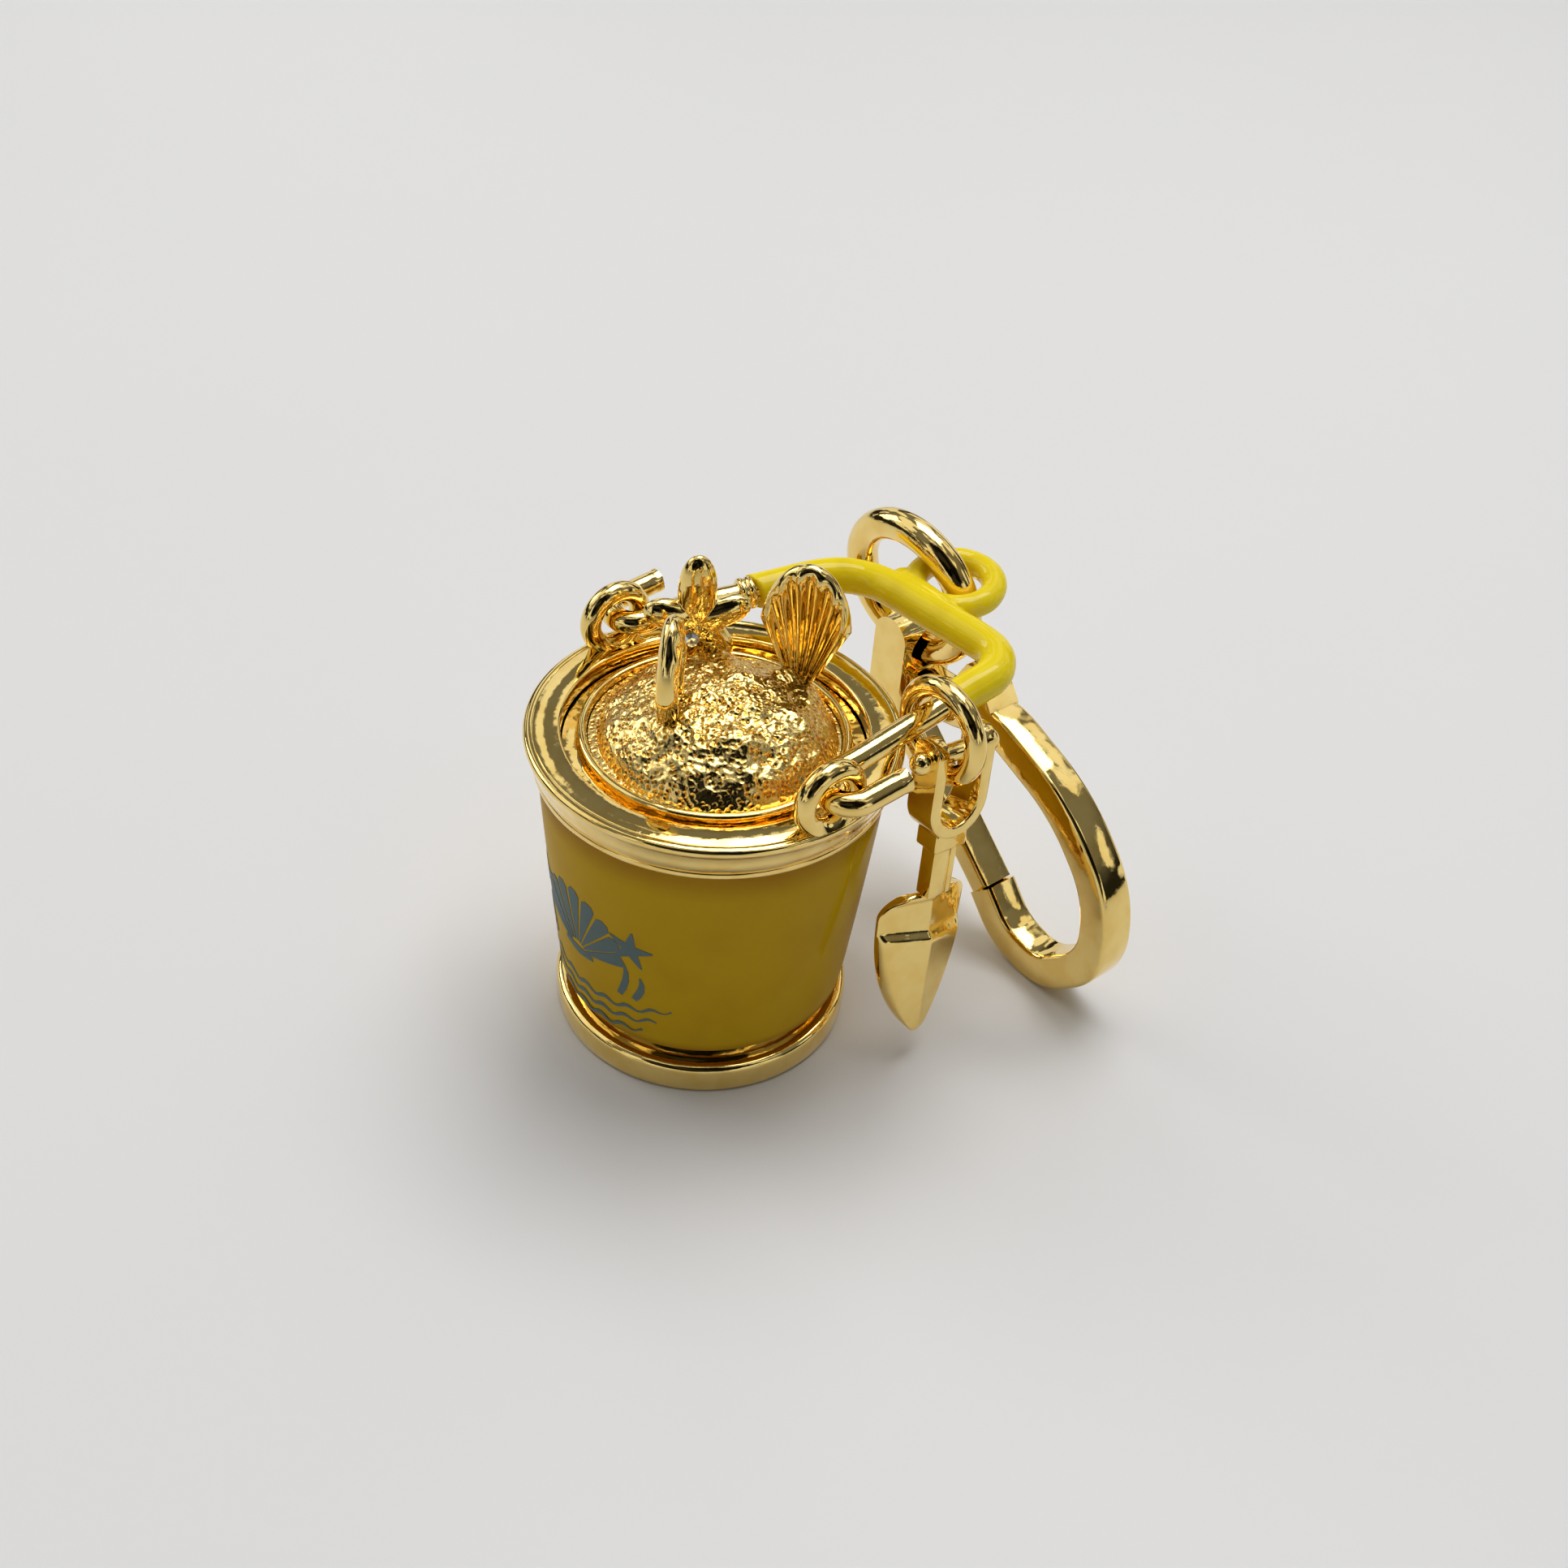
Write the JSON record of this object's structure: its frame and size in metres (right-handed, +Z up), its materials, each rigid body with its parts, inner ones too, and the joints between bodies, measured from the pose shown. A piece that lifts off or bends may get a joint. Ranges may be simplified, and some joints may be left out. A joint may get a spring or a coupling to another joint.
{
  "type": "beach pail charm with clip and spade",
  "caption": "Gold-tone toy beach pail charm with enamelled wall, sand filling with shells and starfish, swinging bail, hanging spade and spring-gate clip.",
  "frame": {"origin": "centre of the pail's base, on the table it stands on", "axes": "+Z up out of the pail, X along the bail's pivot axis through the two lugs (+X is the lug on the spade's side), -Y the printed front, the bail folded back towards +Y"},
  "size_m": [0.0268, 0.0292, 0.0267],
  "materials": {
    "polished_gold": "polished gold plating",
    "sand_gold": "grainy cast, gold plated",
    "olive_enamel": "clear glossy enamel over metal",
    "yellow_enamel": "opaque glossy enamel",
    "crystal": "cut and clear",
    "spring_steel": "plain wire"
  },
  "bodies": {
    "pail": {"pail_cup": "polished_gold", "foot_ring": "polished_gold", "enamel_wall": "olive_enamel", "rim_band": "polished_gold", "sand_insert": "sand_gold", "sand_mound": "sand_gold", "scallop_right": "polished_gold", "scallop_left": "polished_gold", "starfish": "polished_gold", "crystal": "crystal", "lug_near": "polished_gold", "lug_far": "polished_gold"},
    "bail": {"bail_wire": "polished_gold", "bail_enamel": "yellow_enamel", "collar_near": "polished_gold", "collar_far": "polished_gold"},
    "clip_link": {"clip_ring": "polished_gold"},
    "clip": {"clip_body": "polished_gold", "gate_pin": "polished_gold", "gate_spring": "spring_steel"},
    "gate": {"clip_gate": "polished_gold"},
    "spade_link": {"spade_ring": "polished_gold"},
    "spade": {"spade_grip": "polished_gold", "grip_pin": "polished_gold", "spade_shaft": "polished_gold", "spade_blade": "polished_gold"}
  },
  "joints": [
    {"name": "bail_swing", "type": "hinge", "parent": "pail", "child": "bail", "pos_m": [0, 0, 0.0206], "axis": [1, 0, 0], "range_deg": [-1.5, 170]},
    {"name": "clip_ring_swing", "type": "hinge", "parent": "bail", "child": "clip_link", "pos_m": [0.00025, 0.01644, 0.02204], "axis": [0, 0, -1], "range_deg": [0, 25]},
    {"name": "clip_swing", "type": "hinge", "parent": "clip_link", "child": "clip", "pos_m": [-0.00325, 0.01728, 0.01595], "axis": [1, 0, 0], "range_deg": [0, 50]},
    {"name": "gate_hinge", "type": "hinge", "parent": "clip", "child": "gate", "pos_m": [-0.0034, 0.01725, 0.0112], "axis": [0, -1, 0], "range_deg": [0, 28], "stiffness_Nm_per_rad": 0.001, "springref_deg": -28.65},
    {"name": "spade_ring_swing", "type": "hinge", "parent": "bail", "child": "spade_link", "pos_m": [0.00743, 0.008, 0.0213], "axis": [0, -1, 0], "range_deg": [0, 60]},
    {"name": "spade_swing", "type": "hinge", "parent": "spade_link", "child": "spade", "pos_m": [0.00915, 0.0085, 0.01972], "axis": [0, -1, 0], "range_deg": [0, 40]}
  ]
}
